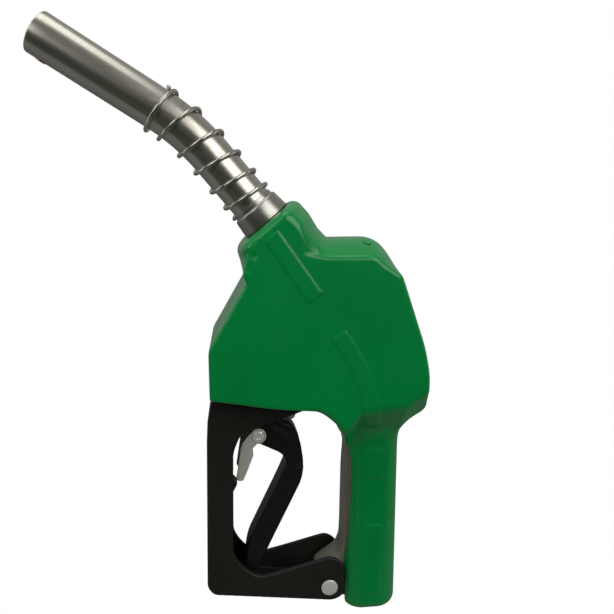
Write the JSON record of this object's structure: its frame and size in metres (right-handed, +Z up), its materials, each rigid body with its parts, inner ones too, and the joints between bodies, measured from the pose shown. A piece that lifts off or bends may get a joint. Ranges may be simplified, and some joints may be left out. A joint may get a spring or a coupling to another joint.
{
  "type": "fuel nozzle",
  "caption": "Automatic fuel-dispensing nozzle with a covered cast body, bent metal spout with a coil spring, and a guarded hand lever with a hold-open clip.",
  "frame": {"origin": "centre of the hose inlet at the foot of the handle, on the handle's axis", "axes": "+Z up the handle, -X towards the spout, Y across the thickness"},
  "size_m": [0.2214, 0.068, 0.3571],
  "materials": {
    "vinyl": "soft glossy dipped vinyl",
    "cast_aluminium": "as cast, slightly dull",
    "spout_metal": "satin, drawn and turned",
    "spring_steel": "bright drawn wire",
    "plated_steel": "nickel plated",
    "brass": "machined",
    "black_plastic": "satin moulded nylon",
    "rubber": "moulded"
  },
  "bodies": {
    "body": {"body_casting": "cast_aluminium", "vinyl_cover": "vinyl", "spout_tube": "spout_metal", "spout_collar": "spout_metal", "spout_spring": "spring_steel", "collar_o_ring": "rubber", "spout_screw": "plated_steel", "vent_tube": "brass", "sensing_port": "brass", "check_cage": "brass", "check_spring": "spring_steel", "check_spider": "brass", "main_spring": "spring_steel", "body_cap": "cast_aluminium", "cap_o_ring": "rubber", "packing_nut": "brass", "stem_packing": "rubber", "plunger_guide": "brass", "guide_plug": "brass", "plunger_spring": "spring_steel", "diaphragm": "rubber", "diaphragm_spring": "spring_steel", "guard": "black_plastic", "guard_pin": "plated_steel", "guard_screw_near": "plated_steel", "guard_screw_far": "plated_steel"},
    "trip": {"trip_plunger": "plated_steel", "lever_pin": "plated_steel", "latch_ball_1": "spring_steel", "latch_ball_2": "spring_steel", "latch_ball_3": "spring_steel"},
    "lever": {"lever": "black_plastic", "clip_rivet": "plated_steel", "clip_spring": "spring_steel"},
    "clip": {"hold_open_clip": "plated_steel"},
    "main_valve": {"main_stem": "plated_steel", "main_poppet": "cast_aluminium", "main_seal": "rubber"},
    "latch": {"latch_pin": "plated_steel"},
    "check_valve": {"check_poppet": "brass"}
  },
  "joints": [
    {"name": "trip_slide", "type": "slide", "parent": "body", "child": "trip", "axis": [0, 0, -1], "range_m": [0, 0.004], "stiffness_N_per_m": 3000, "springref_m": -0.001, "deforming": ["plunger_spring"]},
    {"name": "lever_hinge", "type": "hinge", "parent": "trip", "child": "lever", "pos_m": [-0.066, 0, 0.13], "axis": [0, -1, 0], "range_deg": [0, 19], "stiffness_Nm_per_rad": 0.3, "springref_deg": -17.19},
    {"name": "clip_hinge", "type": "hinge", "parent": "lever", "child": "clip", "pos_m": [-0.0699, 0, 0.1195], "axis": [0, 1, 0], "range_deg": [0, 30], "stiffness_Nm_per_rad": 0.02, "springref_deg": -17.19},
    {"name": "main_valve_slide", "type": "slide", "parent": "body", "child": "main_valve", "axis": [0.3007, 0, 0.9537], "range_m": [0, 0.006], "stiffness_N_per_m": 60, "springref_m": -0.004, "deforming": ["main_spring"]},
    {"name": "latch_slide", "type": "slide", "parent": "body", "child": "latch", "axis": [0, 0, 1], "range_m": [0, 0.003], "stiffness_N_per_m": 200, "springref_m": -0.004, "deforming": ["diaphragm_spring"]},
    {"name": "check_slide", "type": "slide", "parent": "body", "child": "check_valve", "axis": [-0.6428, 0, 0.766], "range_m": [0, 0.004], "stiffness_N_per_m": 150, "springref_m": -0.003, "deforming": ["check_spring"]}
  ],
  "couplings": [
    {"joint": "main_valve_slide", "follows": "lever_hinge", "m_per_rad": 0.0173}
  ]
}
